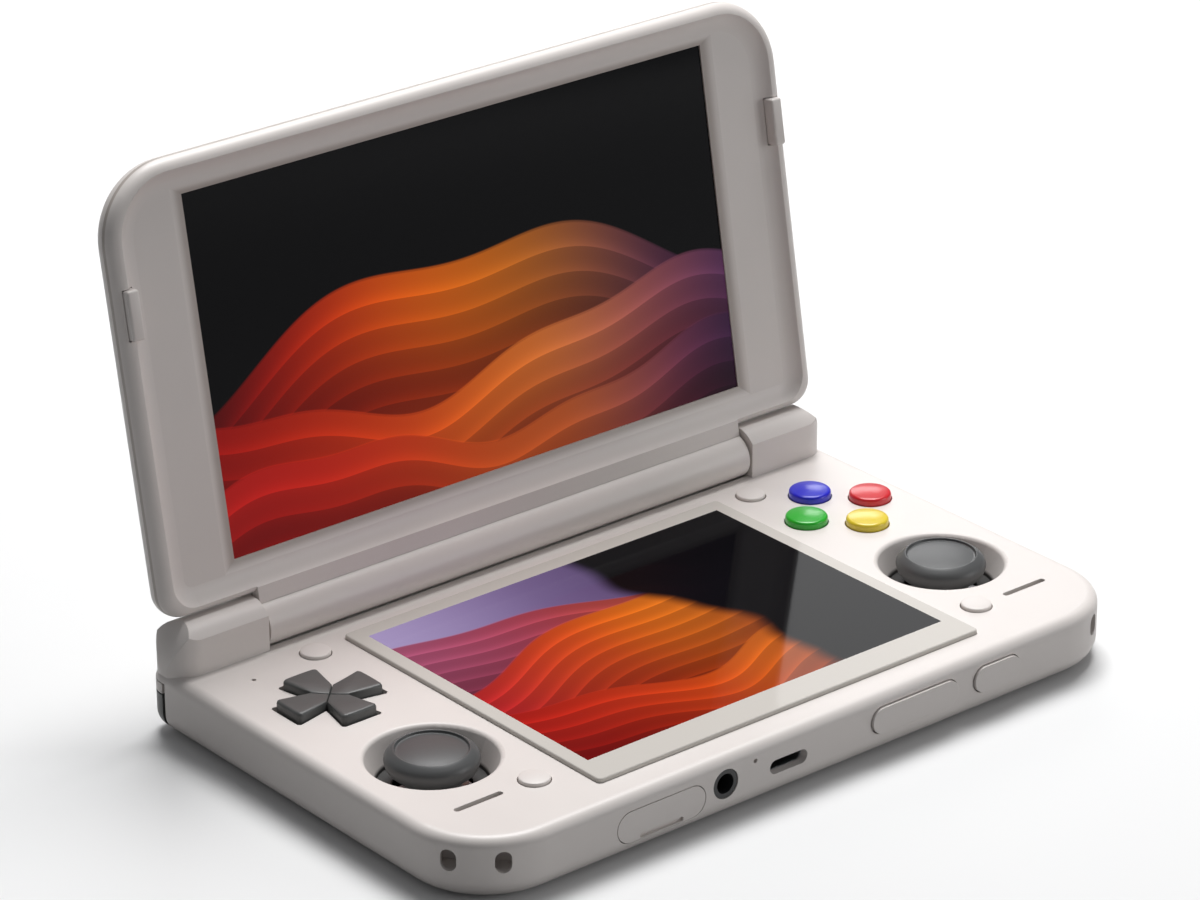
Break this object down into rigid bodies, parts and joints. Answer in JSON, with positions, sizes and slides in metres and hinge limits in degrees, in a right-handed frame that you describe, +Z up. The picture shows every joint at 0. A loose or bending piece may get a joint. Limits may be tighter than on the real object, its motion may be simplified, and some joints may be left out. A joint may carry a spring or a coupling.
{
  "type": "clamshell handheld game console",
  "caption": "Clamshell handheld game console with a wide upper screen in a hinged lid, a lower screen in the deck, thumbsticks, direction pad and buttons.",
  "frame": {"origin": "centre of the base's flat underside; the rubber feet stand 0.6 mm below it", "axes": "+X to the player's right, +Y from the player to the hinge, +Z up"},
  "size_m": [0.149, 0.1041, 0.0985],
  "materials": {
    "shell": "fine matt texture, warm light grey",
    "dark_keys": "satin dark grey",
    "stick_rubber": "soft sheen, mid-dark grey",
    "button_blue": "glossy",
    "button_red": "glossy",
    "button_yellow": "glossy",
    "button_green": "glossy",
    "screen_glass": "polished, clear over the display",
    "display": "dark when off, lit when on",
    "black_plastic": "moulded black",
    "white_plastic": "natural acetal",
    "silicone": "matt grey",
    "rubber": "matt black",
    "steel": "plain",
    "copper": null,
    "circuit_board": "solder mask",
    "battery_wrap": "foil pouch in black tape",
    "ribbon": "polyimide film"
  },
  "bodies": {
    "base": {"base_top_shell": "shell", "base_bottom_cover": "shell", "rubber_feet": "rubber", "cover_screws": "steel", "lower_glass": "screen_glass", "lower_display_panel": "display", "mainboard": "circuit_board", "io_board": "circuit_board", "left_button_board": "circuit_board", "right_button_board": "circuit_board", "battery": "battery_wrap", "heat_sink": "copper", "fan_housing": "black_plastic", "speakers": "black_plastic", "usb_c_port": "steel", "headphone_jack": "black_plastic", "card_reader": "steel", "dpad_membrane": "silicone", "face_button_membrane": "silicone", "left_stick_housing": "black_plastic", "right_stick_housing": "black_plastic", "shoulder_pins": "steel", "shoulder_switches": "circuit_board", "left_hinge_unit": "steel", "right_hinge_unit": "steel"},
    "fan_rotor": {"fan_rotor": "black_plastic"},
    "power_button": {"power_button": "shell"},
    "volume_rocker": {"volume_rocker": "shell"},
    "card_door": {"card_door": "shell"},
    "dpad_pivot": {"dpad_pivot_disc": "black_plastic"},
    "dpad": {"dpad": "dark_keys"},
    "face_button_back": {"face_button_back": "button_blue"},
    "face_button_right": {"face_button_right": "button_red"},
    "face_button_front": {"face_button_front": "button_yellow"},
    "face_button_left": {"face_button_left": "button_green"},
    "select_button": {"select_button": "shell"},
    "start_button": {"start_button": "shell"},
    "home_button": {"home_button": "shell"},
    "back_button": {"back_button": "shell"},
    "left_yoke": {"left_stick_yoke": "steel"},
    "left_gimbal": {"left_stick_gimbal": "white_plastic"},
    "left_stick": {"left_stick_shaft": "steel", "left_stick_cap": "stick_rubber"},
    "right_yoke": {"right_stick_yoke": "steel"},
    "right_gimbal": {"right_stick_gimbal": "white_plastic"},
    "right_stick": {"right_stick_shaft": "steel", "right_stick_cap": "stick_rubber"},
    "left_bumper": {"left_bumper": "shell"},
    "right_bumper": {"right_bumper": "shell"},
    "left_trigger": {"left_trigger": "dark_keys"},
    "right_trigger": {"right_trigger": "dark_keys"},
    "lid": {"lid_hinge_arms": "steel", "lid_hinge_barrel": "shell", "lid_back_shell": "shell", "lid_front_frame": "shell", "upper_glass": "screen_glass", "upper_display_panel": "display", "lid_bumpers": "shell", "display_cable": "ribbon"}
  },
  "joints": [
    {"name": "lid_hinge", "type": "hinge", "parent": "base", "child": "lid", "pos_m": [0, 0.0396, 0.0148], "axis": [-1, 0, 0], "range_deg": [-100, 50]},
    {"name": "fan_spin", "type": "hinge", "parent": "base", "child": "fan_rotor", "pos_m": [-0.026, 0.017, 0.005], "axis": [0, 0, 1], "continuous": true},
    {"name": "power_press", "type": "slide", "parent": "base", "child": "power_button", "axis": [0, 1, 0], "range_m": [0, 0.0005], "stiffness_N_per_m": 1500},
    {"name": "volume_rock", "type": "hinge", "parent": "base", "child": "volume_rocker", "pos_m": [0.0218, -0.0426, 0.0065], "axis": [0, 0, 1], "range_deg": [-2.5, 2.5], "stiffness_Nm_per_rad": 0.12},
    {"name": "card_door_pull", "type": "slide", "parent": "base", "child": "card_door", "axis": [0, -1, 0], "range_m": [0, 0.006]},
    {"name": "dpad_rock_front_back", "type": "hinge", "parent": "base", "child": "dpad_pivot", "pos_m": [-0.0586, 0.0136, 0.0077], "axis": [1, 0, 0], "range_deg": [-4, 4], "stiffness_Nm_per_rad": 0.1},
    {"name": "dpad_rock_left_right", "type": "hinge", "parent": "dpad_pivot", "child": "dpad", "pos_m": [-0.0586, 0.0136, 0.0077], "axis": [0, 1, 0], "range_deg": [-4, 4], "stiffness_Nm_per_rad": 0.1},
    {"name": "face_back_press", "type": "slide", "parent": "base", "child": "face_button_back", "axis": [0, 0, -1], "range_m": [0, 0.0012], "stiffness_N_per_m": 500},
    {"name": "face_right_press", "type": "slide", "parent": "base", "child": "face_button_right", "axis": [0, 0, -1], "range_m": [0, 0.0012], "stiffness_N_per_m": 500},
    {"name": "face_front_press", "type": "slide", "parent": "base", "child": "face_button_front", "axis": [0, 0, -1], "range_m": [0, 0.0012], "stiffness_N_per_m": 500},
    {"name": "face_left_press", "type": "slide", "parent": "base", "child": "face_button_left", "axis": [0, 0, -1], "range_m": [0, 0.0012], "stiffness_N_per_m": 500},
    {"name": "select_press", "type": "slide", "parent": "base", "child": "select_button", "axis": [0, 0, -1], "range_m": [0, 0.0004], "stiffness_N_per_m": 1500},
    {"name": "start_press", "type": "slide", "parent": "base", "child": "start_button", "axis": [0, 0, -1], "range_m": [0, 0.0004], "stiffness_N_per_m": 1500},
    {"name": "home_press", "type": "slide", "parent": "base", "child": "home_button", "axis": [0, 0, -1], "range_m": [0, 0.0004], "stiffness_N_per_m": 1500},
    {"name": "back_press", "type": "slide", "parent": "base", "child": "back_button", "axis": [0, 0, -1], "range_m": [0, 0.0004], "stiffness_N_per_m": 1500},
    {"name": "left_stick_front_back", "type": "hinge", "parent": "base", "child": "left_yoke", "pos_m": [-0.0576, -0.0133, 0.0049], "axis": [1, 0, 0], "range_deg": [-12, 12], "stiffness_Nm_per_rad": 0.03},
    {"name": "left_stick_left_right", "type": "hinge", "parent": "left_yoke", "child": "left_gimbal", "pos_m": [-0.0576, -0.0133, 0.0049], "axis": [0, 1, 0], "range_deg": [-12, 12], "stiffness_Nm_per_rad": 0.03},
    {"name": "left_stick_click", "type": "slide", "parent": "left_gimbal", "child": "left_stick", "axis": [0, 0, -1], "range_m": [0, 0.0004], "stiffness_N_per_m": 3000},
    {"name": "left_bumper_press", "type": "hinge", "parent": "base", "child": "left_bumper", "pos_m": [-0.0508, 0.0426, 0.0082], "axis": [0, 0, 1], "range_deg": [0, 1.4], "stiffness_Nm_per_rad": 1.2},
    {"name": "left_trigger_press", "type": "hinge", "parent": "base", "child": "left_trigger", "pos_m": [-0.0508, 0.0426, 0.004], "axis": [0, 0, 1], "range_deg": [0, 1.6], "stiffness_Nm_per_rad": 1.2},
    {"name": "right_stick_front_back", "type": "hinge", "parent": "base", "child": "right_yoke", "pos_m": [0.0576, -0.0133, 0.0049], "axis": [1, 0, 0], "range_deg": [-12, 12], "stiffness_Nm_per_rad": 0.03},
    {"name": "right_stick_left_right", "type": "hinge", "parent": "right_yoke", "child": "right_gimbal", "pos_m": [0.0576, -0.0133, 0.0049], "axis": [0, 1, 0], "range_deg": [-12, 12], "stiffness_Nm_per_rad": 0.03},
    {"name": "right_stick_click", "type": "slide", "parent": "right_gimbal", "child": "right_stick", "axis": [0, 0, -1], "range_m": [0, 0.0004], "stiffness_N_per_m": 3000},
    {"name": "right_bumper_press", "type": "hinge", "parent": "base", "child": "right_bumper", "pos_m": [0.0508, 0.0426, 0.0082], "axis": [0, 0, -1], "range_deg": [0, 1.4], "stiffness_Nm_per_rad": 1.2},
    {"name": "right_trigger_press", "type": "hinge", "parent": "base", "child": "right_trigger", "pos_m": [0.0508, 0.0426, 0.004], "axis": [0, 0, -1], "range_deg": [0, 1.6], "stiffness_Nm_per_rad": 1.2}
  ]
}
